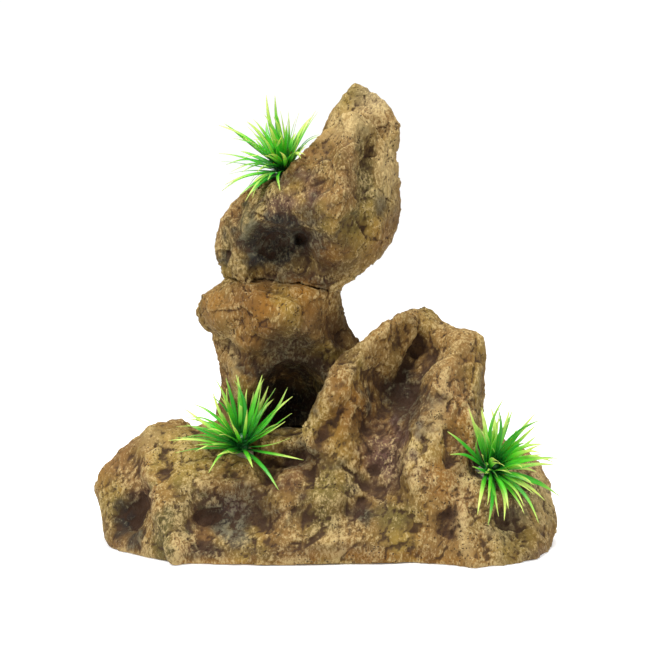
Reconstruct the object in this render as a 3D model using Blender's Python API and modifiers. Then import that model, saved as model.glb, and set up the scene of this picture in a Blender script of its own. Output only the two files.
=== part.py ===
"""Resin cave ornament: a rock tower of a hollow base, a pillar and a crown, with three plastic grass plants.

Run with: blender --background --python part.py
Metres, +Z up. The origin is on the floor, under the middle of the ornament. The cave's mouth faces -Y.

The rocks are carved the way a maker blocks out a stone: chunks with flat sides are set together, fused and
rubbed down, then hollows are pressed in and ridges raised. Corner points are millimetres on a carving that is
CARVED wide, deep and high, and are stretched to WIDTH, DEPTH and HEIGHT.
"""

import math
import random

import bmesh
import bpy
import numpy as np
from mathutils import Matrix, Vector, noise
from mathutils.bvhtree import BVHTree
from mathutils.kdtree import KDTree

# Overall size of the rock
WIDTH = 0.200
DEPTH = 0.108
HEIGHT = 0.197
CARVED = Vector((200, 108, 197))  # the carving's own size, in its millimetres
CARVED_MIDDLE = Vector((0.5, -3.8, 0))  # the middle of its foot

# Castings
WALL = 0.0065  # thickness of the hollow base
BOND_GAP = 0.0004  # room for adhesive between a casting and its neighbour
SPIGOT_RADIUS = 0.009  # locating spigot on the pillar's top
SPIGOT_HEIGHT = 0.007
CAVE_WIDTH = 0.038
CAVE_HEIGHT = 0.033  # over the pillar's foot
DROP_RADIUS = 0.011  # passage from the cave down into the hollow base
REAR_WIDTH = 0.046
REAR_HEIGHT = 0.030

# Plants
STEM_RADIUS = 0.0013
STEM_HOLE_CLEARANCE = 0.0004
PEG_LENGTH = 0.007  # the stem's length inside the rock
STEM_HEAD_RADIUS = 0.0022
STEM_HEAD_HEIGHT = 0.0012
POCKET_RADIUS = 0.0066
POCKET_DEPTH = 0.0022
GLUE_RADIUS = 0.0054
GLUE_HEIGHT = 0.0026
HUB_RADIUS = 0.0027
HUB_THICKNESS = 0.0013
HUB_GAP = 0.0003
WHORLS = 4
BLADES = 10
BLADE_LENGTH = 0.0290
BLADE_WIDTH = 0.0020
BLADE_THICKNESS = 0.0007
BLADE_STEPS = 12
KNOT_STEPS = 4  # a blade bends at every fourth step

# Detail of the carving
FUSE_GRAIN = 0.0020  # the voxel that fuses chunks into one stone
RUBBING = 3  # rounds of smoothing
ROUGHNESS = 0.0011  # depth of the broken surface
ROUGHNESS_SCALE = 0.013
CAVE_FLOOR = 48  # height of the cave's floor, in carving millimetres
CAVE_RINGS = [(-40, 1.70, 1.40), (-24, 1.40, 1.22), (-10, 1.02, 1.00), (6, 0.72, 0.75), (12, 0.40, 0.45)]
REAR_RINGS = [(34, 0.90, 0.90), (46, 1.00, 1.00), (70, 1.35, 1.25)]
ARCH_DROP = 0.012  # how far an arch's space is carried down, past its floor

STRETCH = Vector((WIDTH / CARVED.x, DEPTH / CARVED.y, HEIGHT / CARVED.z))


def carved(x, y, z):
    """A point of the carving, as a place in metres."""
    return (Vector((x, y, z)) - CARVED_MIDDLE) * STRETCH


# ---------------------------------------------------------------- chunks of each stone, on the carving

BASE_CHUNKS = {
    "heart": [
        (-88, -10, -14), (-85, 10, -14), (-60, -44, -14), (-20, -46, -14), (10, -37, -14), (60, -48, -14),
        (86, -38, -14), (93, -10, -14), (90, 14, -14), (78, 36, -14), (20, 44, -14), (-30, 44, -14),
        (-68, 32, -14), (-78, 0, 38), (-60, 24, 36), (-30, -22, 34), (10, -28, 34), (50, -30, 34),
        (60, 30, 36), (84, 0, 28), (-10, 36, 36), (40, 36, 36),
    ],
    "left_rock": [
        (-100, -6, 28), (-100, -8, 24), (-97, -9, 17), (-94, -14, 8), (-89, -27, -14), (-89, -27, 2),
        (-90, 10, 30), (-89, -7, 36), (-83, -8, 43), (-77, -6, 49), (-72, 0, 52), (-62, 4, 52),
        (-75, -25, 34), (-56, -16, 47), (-60, -52, -14), (-61, -52, 4), (-64, -44, 22), (-86, 24, 34),
        (-60, 30, 44), (-92, 12, -14), (-70, 38, -14),
    ],
    "left_knee": [
        (-61, -51, -14), (-61, -51, 4), (-66, -36, 33), (-50, -14, 46), (-36, -28, 42), (-26, -36, 33),
        (-20, -48, 14), (-24, -53, -14), (-24, -52, 4), (-30, 0, 42), (-50, 20, 40), (-20, 10, 30),
        (-44, -47, 20), (-56, 0, 48),
    ],
    "apron": [
        (-26, -54, -14), (-26, -53, 4), (10, -42, -14), (10, -45, 8), (42, -47, -14), (42, -49, 8),
        (-10, -43, 24), (-19, -37, 35), (16, -39, 22), (34, -44, 26), (0, -30, 40), (30, -20, 40),
        (-30, 10, 30), (40, 10, -14),
    ],
    "apron_right": [
        (30, -45, -14), (30, -46, 8), (47, -53, -14), (62, -58, -14), (62, -56, 5), (50, -50, 22),
        (34, -44, 24), (38, -45, 36), (58, -44, 30), (30, 0, -14), (70, 0, -14), (40, 0, 34), (66, -30, 30),
    ],
    "slab_left_wall": [
        (16, -9, 82), (22, -9, 89), (28, -11, 95), (33, -13, 101), (36, -12, 100), (4, -25, 81),
        (2, -29, 73), (-1, -32, 65), (-8, -33, 60), (-12, -34, 54), (-8, -37, 44), (12, -37, 46),
        (20, -31, 62), (30, -20, 82), (24, 14, 78), (30, 14, 92), (4, -4, 44), (10, 16, 40), (40, -13, 93),
        (40, 12, 96), (10, -33, 68),
    ],
    "gully_floor": [
        (34, -6, 84), (46, -6, 82), (28, -16, 70), (44, -18, 70), (14, -29, 60), (38, -29, 60),
        (6, -38, 42), (38, -40, 44), (8, -41, 24), (40, -46, 24), (20, 10, 80), (50, 10, 80), (8, 10, 20),
        (50, 10, 20),
    ],
    "slab_right_wall": [
        (58, -1, 93), (65, -3, 92), (67, -4, 88), (69, -1, 84), (67, 0, 77), (66, 2, 69), (63, 3, 60),
        (56, -16, 87), (53, -6, 91), (50, -21, 78), (44, -32, 66), (36, -41, 54), (33, -45, 43),
        (35, -48, 30), (62, -24, 62), (62, -34, 44), (54, 20, 84), (62, 20, 70), (46, 10, 90), (50, 20, 30),
        (68, -6, 36), (40, 10, 30), (58, -42, 32), (48, -47, 30),
    ],
    "slab_back": [
        (37, 2, 100), (41, 14, 100), (46, 14, 99), (50, 12, 95), (55, 6, 91), (30, 8, 96), (36, 30, 84),
        (50, 28, 82), (20, 30, 60), (20, 6, 80), (58, 30, 56), (60, 40, 20), (10, 42, 20), (34, -6, 72),
        (54, -8, 72), (14, 0, 40), (62, 0, 40),
    ],
    "right_foot": [
        (60, -58, -14), (60, -57, 3), (56, -50, 19), (54, -42, 33), (74, -55, -14), (75, -54, 4),
        (88, -44, -14), (90, -43, 4), (70, -42, 28), (46, -50, 8), (44, -48, -14), (60, -30, 38),
        (86, -30, 26), (60, 0, 30),
    ],
    "right_rock": [
        (95, -27, -14), (97, -25, 4), (99, -12, 5), (101, -7, 10), (99, -5, 18), (98, -2, 25), (94, 0, 33),
        (87, 2, 39), (78, 6, 42), (72, -24, 37), (84, -36, 20), (90, -43, 4), (92, 18, 20), (84, 32, 24),
        (70, 30, 40), (60, 20, 44), (94, 18, -14), (80, 42, -14), (50, 40, -14), (88, -44, -14),
    ],
    "rear_stub": [
        (62, 16, 60), (67, 22, 62), (70, 24, 54), (70, 22, 40), (56, 30, 62), (56, 42, 34), (74, 32, 30),
        (60, 14, 36),
    ],
    "rear_mass": [
        (-64, 34, 40), (-30, 44, 34), (10, 46, 38), (46, 44, 36), (-80, 36, -14), (-30, 52, -14),
        (20, 51, -14), (66, 48, -14), (-30, 52, 6), (20, 51, 8), (-78, 34, 14), (-50, 10, 44), (30, 10, 50),
        (0, 20, 50), (-40, 28, 50), (-10, 34, 48), (60, 10, 44),
    ],
    "underpin": [
        (-5, -34, 45), (-8, -37, 28), (10, -37, 48), (10, -42, 26), (-5, -8, 45), (10, -8, 48), (-8, -8, 26),
        (10, -8, 26),
    ],
    "saddle": [
        (-50, -8, 50), (-46, 24, 52), (16, 26, 52), (18, -12, 50), (-20, -26, 48), (4, -28, 46),
        (-50, 0, 10), (20, 0, 10),
    ],
}

PILLAR_CHUNKS = {
    "head": [
        (-41, -6, 115), (-48, -5, 110), (-54, -3, 106), (-57, 0, 100), (-53, 0, 92), (-49, -1, 89),
        (-32, -19, 110), (-15, -25, 107), (4, -10, 111), (7, -1, 105), (8, 3, 99), (11, 4, 92),
        (-23, -25, 90), (-8, -22, 88), (-44, 18, 106), (-20, 24, 116), (4, 20, 112), (-48, 16, 94),
        (10, 20, 92), (-40, -16, 98),
    ],
    "waist": [
        (-49, -2, 89), (-47, -1, 82), (-44, 0, 74), (11, 3, 92), (14, 5, 86), (16, 8, 80), (-28, -22, 88),
        (-6, -20, 88), (-40, -13, 78), (-42, 18, 80), (14, 22, 82), (-44, 2, 66), (16, 2, 70),
        (10, -12, 80),
    ],
    "foot": [
        (-44, 0, 74), (-43, 2, 70), (-46, 4, 62), (-48, 4, 46), (-38, -14, 76), (-40, -16, 46), (16, 8, 80),
        (16, 6, 46), (8, -14, 78), (6, -18, 46), (-42, 24, 74), (-46, 26, 46), (14, 24, 80), (16, 26, 46),
    ],
}

CROWN_CHUNKS = {
    "rear_peak": [
        (12, 14, 197), (17, 13, 196), (20, 9, 193), (27, 5, 189), (31, 5, 185), (33, 7, 180), (32, 4, 174),
        (29, 2, 168), (3, 7, 183), (6, 13, 190), (3, 3, 176), (4, 24, 184), (26, 26, 176), (10, 30, 170),
        (-6, 20, 164), (28, 20, 150), (-4, -2, 158),
    ],
    "front_slab": [
        (8, -7, 186), (14, -9, 186), (18, -9, 183), (25, -9, 174), (32, -3, 163), (31, -3, 154),
        (8, -29, 152), (4, -29, 134), (12, -26, 146), (-11, -15, 165), (-21, -16, 158), (-28, -17, 151),
        (-10, -27, 148), (31, -5, 147), (34, 1, 143), (0, 10, 150), (-24, 0, 136), (20, -14, 128),
        (26, 12, 140),
    ],
    "chin": [
        (34, 2, 143), (32, 0, 138), (27, -3, 128), (23, -5, 122), (17, -7, 117), (11, -9, 113),
        (7, -10, 111), (8, -28, 140), (4, -27, 126), (20, -18, 138), (-2, -17, 116), (-22, -12, 114),
        (24, 20, 138), (12, 24, 124), (-10, 22, 116), (4, 30, 146), (-16, 20, 140), (26, 18, 126),
    ],
    "left_lobe": [
        (-26, -1, 159), (-30, 1, 156), (-35, 3, 151), (-38, 2, 146), (-42, 0, 142), (-45, 0, 136),
        (-47, 1, 128), (-46, -3, 120), (-41, -7, 112), (-34, -18, 138), (-33, -20, 124), (-24, -22, 145),
        (-26, -12, 113), (-14, -24, 132), (-38, 18, 142), (-38, 18, 122), (-16, 26, 150), (-12, 24, 120),
        (-14, -6, 160),
    ],
    "saddle": [
        (-26, -2, 158), (-14, -8, 163), (-4, -6, 165), (-24, 14, 155), (-8, 18, 158), (2, 12, 158),
        (-30, 2, 140), (-26, 18, 138), (0, -10, 140), (4, 20, 138),
    ],
    "root": [
        (-44, -4, 116), (-34, -18, 118), (-26, -17, 118), (-4, -18, 120), (12, -14, 120), (14, 6, 118),
        (4, 24, 120), (-34, 18, 118), (-40, 0, 104), (-30, -12, 104), (-10, -14, 104), (2, -8, 104),
        (4, 4, 104), (-4, 18, 104), (-36, 12, 104),
    ],
}

# What is pressed into a stone (or raised, where the push points out), in carving millimetres:
# the path, its reach round the path, and the push.
BASE_STROKES = [
    ("head of the slab's hollow", [(35, -14, 82), (33, -20, 70)], 22, (0, 13, -2)),
    ("hollow's left side", [(24, -24, 72), (18, -31, 58)], 14, (0, 6, 0)),
    ("gully", [(31, -24, 64), (26, -34, 50), (20, -42, 34)], 20, (0, 11, 0)),
    ("pit at the gully's foot", [(16, -43, 24), (14, -45, 19)], 9, (0, 7, 1)),
    (
        "ridge right of the gully",
        [(52, -22, 79), (44, -33, 66), (35, -42, 53), (33, -46, 42), (37, -49, 26)], 8, (-1, -3, 1),
    ),
    ("face right of the ridge", [(56, -34, 62), (52, -44, 44)], 11, (-1, 3, 0)),
    ("slab's left lip", [(26, -14, 92), (10, -30, 78), (0, -35, 64)], 8, (-1, -3, 1)),
    ("furrow in the left band", [(8, -34, 62), (-2, -37, 50)], 6, (0, 3, 0)),
    ("crease left of the gully", [(-6, -38, 34), (2, -40, 42), (10, -40, 48)], 7, (0, 4, 0)),
    ("knuckles below the crease", [(-4, -44, 24), (6, -44, 30)], 8, (0, -2, 1)),
    ("hollow in the left facet", [(-84, -30, 14), (-82, -32, 22)], 13, (5, 6, 0)),
    ("rib of the left rock", [(-76, -14, 46), (-74, -26, 34), (-68, -38, 22), (-62, -50, 6)], 8, (-1, -4, 1)),
    ("scoop above the rim", [(-48, -50, 15), (-30, -50, 16)], 14, (0, 9, 1)),
    ("brow over the scoop", [(-54, -40, 31), (-32, -42, 30)], 9, (0, -3, 0)),
    ("scoop over the apron", [(-6, -46, 16), (10, -44, 13)], 11, (0, 4, 1)),
    ("rim", [(-44, -54, 2), (-20, -54, 3), (10, -46, 3), (30, -48, 3)], 6, (0, -2, 0)),
    ("nook of the left plant", [(-37, -14, 47)], 10, (0, 2, -3)),
    ("crack by the right foot", [(56, -50, 30), (50, -52, 14)], 7, (0, 4, 0)),
    ("facet of the right foot", [(78, -44, 14)], 13, (-4, 6, 0)),
    ("rear gully", [(20, 46, 40), (26, 52, 12)], 15, (0, -9, 0)),
    ("rear hollow", [(-48, 48, 24)], 16, (0, -8, 0)),
    ("rear ridge", [(44, 34, 66), (50, 48, 30), (52, 52, 6)], 9, (0, 4, 0)),
    ("step in the rear mass", [(-60, 36, 38), (-10, 42, 36)], 9, (0, -5, -2)),
]

PILLAR_STROKES = [
    ("scoop over the cave", [(-22, -26, 76), (-6, -24, 76)], 20, (0, 10, 3)),
    ("throat under the crown", [(4, -22, 112)], 10, (0, 5, -2)),
    ("sill of the dark hollow", [(-24, -22, 117), (-10, -24, 116)], 12, (0, 7, -5)),
    ("fold in the face", [(-4, -26, 104), (-10, -28, 94), (-22, -27, 88)], 8, (0, 4, 0)),
    ("rib left of the fold", [(-16, -27, 104), (-26, -26, 92)], 7, (0, -3, 0)),
    ("left cheek", [(-46, -10, 96)], 10, (-2, -2, 0)),
    ("groove under the left cheek", [(-46, -8, 84), (-38, -18, 80)], 8, (4, 3, 0)),
    ("groove at the right", [(8, -10, 92), (12, -10, 78)], 8, (-1, 5, 0)),
    ("rear dent", [(-18, 26, 92)], 16, (0, -7, 0)),
    ("rear rib", [(-8, 26, 84), (-14, 28, 66), (-8, 28, 52)], 10, (0, 6, 0)),
    ("rear corner", [(-44, 24, 72), (-46, 26, 52)], 14, (6, -6, 0)),
    ("second rear corner", [(14, 24, 76), (15, 26, 54)], 12, (-5, -5, 0)),
]

CROWN_STROKES = [
    ("dark hollow", [(-22, -26, 126), (-10, -26, 118)], 18, (0, 17, 2)),
    ("hollow's left reach", [(-34, -20, 126)], 10, (1, 6, 0)),
    ("hollow's floor", [(-26, -20, 117), (-6, -22, 114)], 12, (0, 13, -3)),
    ("brow over the hollow", [(-30, -22, 141), (-14, -29, 137), (0, -33, 132)], 8, (0, -4, -1)),
    ("face left of the ridge", [(-8, -26, 152)], 12, (0, 3, 0)),
    ("middle ridge", [(12, -14, 180), (9, -22, 166), (8, -32, 150), (5, -31, 134)], 7, (-1, -4, 0)),
    ("trough right of the ridge", [(19, -16, 168), (17, -26, 150)], 7, (0, 4, 0)),
    ("cheek right of the ridge", [(24, -18, 150), (22, -18, 138)], 8, (1, -2, 0)),
    ("groove behind the front slab", [(-8, -4, 170), (2, -2, 180), (8, 2, 186)], 7, (-2, 1, -8)),
    ("nook of the top plant", [(-17, -2, 163)], 12, (1, 2, -4)),
    ("notch in the right side", [(32, 0, 168)], 8, (-3, 0, 0)),
    ("first flute of the left lobe", [(-38, -12, 142), (-38, -18, 122)], 5, (1, 3, 0)),
    ("second flute of the left lobe", [(-45, -5, 138), (-44, -8, 122)], 5, (2, 2, 0)),
    ("rear dent", [(4, 28, 150)], 18, (0, -8, 0)),
    ("rear furrow", [(-20, 26, 136), (8, 28, 124)], 9, (0, -5, 0)),
]

# Each plant: a point in front of its nook, the way its stem leaves the rock, and how far its blades lean over
PLANTS = {
    "top": {"nook": (-18, -4, 163), "axis": (-0.28, -0.34, 0.90), "seed": 3},
    "left": {"nook": (-35, -22, 46), "axis": (0.05, -0.46, 0.88), "seed": 10},
    "right": {"nook": (70, -30, 36), "axis": (0.30, -0.74, 0.60), "seed": 3},
}


# ---------------------------------------------------------------- scene helpers


def clear_scene():
    for obj in list(bpy.data.objects):
        bpy.data.objects.remove(obj, do_unlink=True)


def new_collection(name):
    made = bpy.data.collections.new(name)
    bpy.context.scene.collection.children.link(made)
    return made


def finish(name, colour, roughness):
    material = bpy.data.materials.new(name)
    material.use_nodes = True
    shader = material.node_tree.nodes["Principled BSDF"]
    shader.inputs["Base Color"].default_value = (*colour, 1)
    shader.inputs["Roughness"].default_value = roughness
    shader.inputs["Metallic"].default_value = 0
    return material


def object_from(bm, name, collection):
    mesh = bpy.data.meshes.new(name)
    bm.to_mesh(mesh)
    bm.free()
    obj = bpy.data.objects.new(name, mesh)
    collection.objects.link(obj)
    return obj


def bake_modifiers(obj):
    """Leaves obj with its evaluated mesh and no modifiers."""
    graph = bpy.context.evaluated_depsgraph_get()
    old = obj.data
    obj.data = bpy.data.meshes.new_from_object(obj.evaluated_get(graph))
    obj.modifiers.clear()
    bpy.data.meshes.remove(old)
    return obj


def without_chips(obj):
    """Keeps an object's largest piece, and drops the chips that fusing and cutting can leave."""
    bm = bmesh.new()
    bm.from_mesh(obj.data)
    unseen = set(bm.verts)
    pieces = []
    while unseen:
        piece = []
        waiting = [unseen.pop()]
        while waiting:
            vert = waiting.pop()
            piece.append(vert)
            for edge in vert.link_edges:
                other = edge.other_vert(vert)
                if other in unseen:
                    unseen.remove(other)
                    waiting.append(other)
        pieces.append(piece)
    pieces.sort(key=len)
    for piece in pieces[:-1]:
        bmesh.ops.delete(bm, geom=piece, context="VERTS")
    bm.to_mesh(obj.data)
    bm.free()
    return obj


def helper(obj):
    obj.hide_render = True
    obj.display_type = "WIRE"
    return obj


def cut(obj, cutter, operation="DIFFERENCE"):
    modifier = obj.modifiers.new(cutter.name, "BOOLEAN")
    modifier.operation = operation
    modifier.object = cutter
    modifier.solver = "EXACT"
    return bake_modifiers(obj)


def cylinder(name, radius, start, end, collection, sides=24, end_radius=None):
    """A round bar, or a tapered one, from start to end."""
    bm = bmesh.new()
    length = (end - start).length
    far = radius if end_radius is None else end_radius
    bmesh.ops.create_cone(bm, cap_ends=True, segments=sides, radius1=radius, radius2=far, depth=length)
    turn = Vector((0, 0, 1)).rotation_difference(end - start).to_matrix().to_4x4()
    bmesh.ops.transform(bm, matrix=Matrix.Translation((start + end) / 2) @ turn, verts=bm.verts)
    return object_from(bm, name, collection)


def box(name, low, high, collection):
    bm = bmesh.new()
    bmesh.ops.create_cube(bm, size=1)
    bmesh.ops.scale(bm, vec=high - low, verts=bm.verts)
    bmesh.ops.translate(bm, vec=(low + high) / 2, verts=bm.verts)
    return object_from(bm, name, collection)


# ---------------------------------------------------------------- carving


def chunk(name, places, collection):
    """The block whose corners are these places."""
    bm = bmesh.new()
    points = [bm.verts.new(place) for place in places]
    hull = bmesh.ops.convex_hull(bm, input=points)
    inner = [item for item in hull["geom_interior"] + hull["geom_unused"] if isinstance(item, bmesh.types.BMVert)]
    bmesh.ops.delete(bm, geom=list(set(inner)), context="VERTS")
    bmesh.ops.recalc_face_normals(bm, faces=bm.faces)
    return object_from(bm, name, collection)


def fused(name, blocks, collection, cutters):
    """One stone from overlapping blocks, with its edges rubbed down."""
    stone = None
    for block_name, places in blocks.items():
        if stone is None:
            stone = chunk(name, places, collection)
        else:
            cut(stone, helper(chunk(f"{name}_{block_name}", places, cutters)), "UNION")
    remesh = stone.modifiers.new("fuse", "REMESH")
    remesh.mode = "VOXEL"
    remesh.voxel_size = FUSE_GRAIN
    smooth = stone.modifiers.new("rub", "SMOOTH")
    smooth.factor = 0.5
    smooth.iterations = RUBBING
    return without_chips(bake_modifiers(stone))


def stone_from(name, chunks, collection, cutters):
    """The fused stone of chunks given by their corners on the carving."""
    blocks = {}
    for block_name, corners in chunks.items():
        blocks[block_name] = [carved(*corner) for corner in corners]
    return fused(name, blocks, collection, cutters)


def distance_to_path(points, path):
    """The distance from each point to the nearest stretch of the path."""
    if len(path) == 1:
        return np.linalg.norm(points - path[0], axis=1)
    nearest = np.full(len(points), np.inf)
    for start, end in zip(path, path[1:]):
        along = end - start
        share = np.clip((points - start) @ along / (along @ along), 0, 1)
        foot = start + share[:, None] * along
        nearest = np.minimum(nearest, np.linalg.norm(points - foot, axis=1))
    return nearest


def carve(stone, strokes):
    """Presses the strokes into the stone and roughens it."""
    mesh = stone.data
    points = np.empty(len(mesh.vertices) * 3)
    mesh.vertices.foreach_get("co", points)
    points = points.reshape(-1, 3)
    mean_stretch = (STRETCH.x + STRETCH.y + STRETCH.z) / 3
    for _, path, reach, push in strokes:
        route = np.array([carved(*point) for point in path])
        share = distance_to_path(points, route) / (reach * mean_stretch)
        fall = np.clip(1 - share**2, 0, 1) ** 2
        points += fall[:, None] * np.array(Vector(push) * STRETCH)
    mesh.vertices.foreach_set("co", points.ravel())
    mesh.update()
    for vertex in mesh.vertices:
        spot = vertex.co / ROUGHNESS_SCALE
        coarse = noise.ridged_multi_fractal(spot, 0.9, 2.1, 3, 1.0, 2.0) - 1.1
        points[vertex.index] += np.array(vertex.normal) * coarse * ROUGHNESS
    mesh.vertices.foreach_set("co", points.ravel())
    mesh.update()
    return stone


def thin_out(stone, triangles):
    """Fewer, larger facets, where the surface is flat enough."""
    modifier = stone.modifiers.new("thin out", "DECIMATE")
    stone.data.calc_loop_triangles()
    modifier.ratio = min(1, triangles / len(stone.data.loop_triangles))
    modifier.use_collapse_triangulate = True
    return bake_modifiers(stone)


def core_of(name, stone, triangles, collection):
    """The hollow inside a casting: the stone's own shape, worn away by WALL in a few steps."""
    core = stone.copy()
    core.data = stone.data.copy()
    core.name = name
    collection.objects.link(core)
    steps = math.ceil(WALL / FUSE_GRAIN)
    for _ in range(steps):
        wear = core.modifiers.new("wear", "DISPLACE")
        wear.strength = -WALL / steps
        wear.mid_level = 0
        even_out = core.modifiers.new("even out", "REMESH")
        even_out.mode = "VOXEL"
        even_out.voxel_size = 1.7 * FUSE_GRAIN
        rub = core.modifiers.new("rub", "SMOOTH")
        rub.factor = 0.5
        rub.iterations = 2
        bake_modifiers(core)
    return helper(thin_out(core, triangles))


def swollen(stone, gap, name, collection):
    """A copy of the stone, larger by gap all over."""
    copy = stone.copy()
    copy.data = stone.data.copy()
    copy.name = name
    collection.objects.link(copy)
    swell = copy.modifiers.new("swell", "DISPLACE")
    swell.strength = gap
    swell.mid_level = 0
    return helper(bake_modifiers(copy))


# ---------------------------------------------------------------- castings


def tree_of(obj):
    graph = bpy.context.evaluated_depsgraph_get()
    return BVHTree.FromObject(obj, graph)


def rough_arch(name, middle, width, height, rings, cutters):
    """A space shaped like an arch, open below. A ring is a depth and its shares of the width and height."""
    blocks = {}
    for pair in zip(rings, rings[1:]):
        places = []
        for depth, wide, high in pair:
            for step in range(9):
                turn = math.pi * step / 8
                across = 0.5 * width * wide * math.cos(turn)
                spot = middle + Vector((across, depth * STRETCH.y, height * high * math.sin(turn) ** 0.8))
                places += [spot, Vector((spot.x, spot.y, middle.z - ARCH_DROP))]
        blocks[f"from_{pair[0][0]}"] = places
    arch = carve(fused(name, blocks, cutters, cutters), [])
    return helper(thin_out(arch, 500))


def make_pillar(parts, cutters):
    pillar = carve(stone_from("pillar_casting", PILLAR_CHUNKS, parts, cutters), PILLAR_STROKES)
    thin_out(pillar, 1500)
    cut(pillar, rough_arch("cave", carved(-14, 0, CAVE_FLOOR), CAVE_WIDTH, CAVE_HEIGHT, CAVE_RINGS, cutters))
    foot = carved(-16, 2, 106)
    top = carved(-16, 2, 113) + Vector((0, 0, SPIGOT_HEIGHT))
    spigot = cylinder("spigot", SPIGOT_RADIUS, foot, top, cutters, sides=20, end_radius=0.85 * SPIGOT_RADIUS)
    cut(pillar, helper(spigot), "UNION")
    return pillar


def make_crown(parts, cutters, pillar):
    crown = carve(stone_from("crown_casting", CROWN_CHUNKS, parts, cutters), CROWN_STROKES)
    thin_out(crown, 1900)
    cut(crown, swollen(pillar, BOND_GAP, "pillar_room_in_crown", cutters))
    return crown


def make_base(parts, cutters, pillar):
    base = carve(stone_from("base_casting", BASE_CHUNKS, parts, cutters), BASE_STROKES)
    core = core_of("base_core", base, 700, cutters)
    shelf_low = carved(-64, -40, 46) - Vector((0, 0, WALL + BOND_GAP))
    cut(core, helper(box("pillar_shelf", shelf_low, carved(24, 60, 90), cutters)))
    thin_out(base, 3800)
    cut(base, core)
    drop = cylinder("drop", DROP_RADIUS, carved(-14, -2, 66), carved(-12, 10, 22), cutters)
    cut(base, helper(drop))
    cut(base, rough_arch("rear_mouth", carved(-8, 0, 0), REAR_WIDTH, REAR_HEIGHT, REAR_RINGS, cutters))
    cut(base, swollen(pillar, BOND_GAP, "pillar_room_in_base", cutters))
    cut(base, helper(box("below_floor", carved(-140, -90, -60), carved(140, 90, 0), cutters)))
    return base


# ---------------------------------------------------------------- plants


def plant_frame(plant, rock):
    """Where the plant's axis meets the rock, and axes there with Z along the stem."""
    axis = Vector(plant["axis"]).normalized()
    nook = carved(*plant["nook"])
    hit = tree_of(rock).ray_cast(nook + axis * 0.04, -axis)[0]
    turn = Vector((0, 0, 1)).rotation_difference(axis).to_matrix().to_4x4()
    return Matrix.Translation(hit) @ turn


def drill(rock, frame, name, cutters):
    """The pocket that takes the glue, and the hole for the stem's peg."""
    up = frame.to_3x3() @ Vector((0, 0, 1))
    floor = frame.translation - up * POCKET_DEPTH
    pocket = cylinder(name + "_pocket", POCKET_RADIUS, floor, floor + up * 0.016, cutters, sides=20)
    hole_end = floor - up * (PEG_LENGTH + 0.0005)
    hole_radius = STEM_RADIUS + STEM_HOLE_CLEARANCE
    hole = cylinder(name + "_hole", hole_radius, hole_end, floor + up * 0.001, cutters, sides=12)
    cut(rock, helper(pocket))
    cut(rock, helper(hole))
    return floor


class Thicket:
    """What has grown so far, so that blades stay clear of each other and of the rock."""

    def __init__(self, rocks):
        self.rocks = rocks
        self.grown = []
        self.tree = None

    def room(self, path):
        """How free the path is: at 1, a blade along it just clears the rock and the other blades."""
        least = 99.0
        for index, point in enumerate(path[1:], 1):
            for rock in self.rocks:
                spot, normal, _, distance = rock.find_nearest(point)
                inside = (point - spot).dot(normal) < 0
                least = min(least, (-distance if inside else distance) / (0.58 * BLADE_WIDTH))
            if self.tree:
                apart = min(1.12, 0.80 + 0.08 * index)
                least = min(least, self.tree.find(point)[2] / (apart * BLADE_WIDTH))
        return least

    def add(self, path):
        self.grown += path[1:]
        if not self.grown:
            return
        self.tree = KDTree(len(self.grown))
        for index, point in enumerate(self.grown):
            self.tree.insert(point, index)
        self.tree.balance()


def blade_path(frame, height, azimuth, rise, bend, veer, length, steps=BLADE_STEPS):
    """Points from the hub's edge to the tip: the blade leaves at the angle rise, and turns by bend and veer."""
    outward = Vector((math.cos(azimuth), math.sin(azimuth), 0))
    spot = outward * HUB_RADIUS * math.cos(0.5 * math.pi / BLADES) + Vector((0, 0, height))
    path = [frame @ spot]
    for step in range(steps):
        share = (step + 0.5) / steps
        angle = rise + bend * share**1.5
        heading = azimuth + veer * share**0.5
        level = Vector((math.cos(heading), math.sin(heading), 0))
        spot = spot + (level * math.cos(angle) + Vector((0, 0, math.sin(angle)))) * length / steps
        path.append(frame @ spot)
    for step in range(steps):
        knot = step - step % KNOT_STEPS
        path[step] = path[knot].lerp(path[knot + KNOT_STEPS], (step - knot) / KNOT_STEPS)
    return path


def grow_blade(frame, height, azimuth, rise, chance, thicket):
    """The first path found that keeps clear, steeper and shorter with each attempt."""
    best = None
    most_room = -99.0
    for attempt in range(70):
        spread = 0.10 + 0.010 * attempt
        angle = min(rise + chance.gauss(0, spread) + 0.012 * attempt, rise + 0.42, 1.30)
        bend = min(chance.uniform(-0.9, 0.1) + 0.3 * rise + 0.020 * attempt, 1.5 - angle)
        veer = chance.uniform(-1, 1) * 0.6 * math.pi / BLADES
        length = BLADE_LENGTH * chance.uniform(0.78, 1.08) * (1 - 0.004 * attempt)
        path = blade_path(frame, height, azimuth, angle, bend, veer, length)
        room = thicket.room(path)
        if room > most_room:
            best = path
            most_room = room
        if room > 1:
            return path
    return cropped(best, thicket)


def cropped(path, thicket):
    """A blade that can't keep clear is clipped short of what it would meet, down to no blade at all."""
    clear = 0
    while clear + 1 < len(path) and thicket.room([path[0], path[clear + 1]]) > 1:
        clear += 1
    if clear < KNOT_STEPS:
        return path[:1]
    short = [path[0]]
    for index in range(1, len(path)):
        place = index * (clear - 1) / (len(path) - 1)
        below = min(int(place), len(path) - 2)
        short.append(path[below].lerp(path[below + 1], place - below))
    return short


def width_along(share):
    """A blade's width: narrow at the root, widest at a third, drawn out to the tip."""
    if share < 0.33:
        return BLADE_WIDTH * (0.62 + 1.15 * share)
    return BLADE_WIDTH * (1 - 0.72 * ((share - 0.33) / 0.67) ** 1.6)


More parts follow.
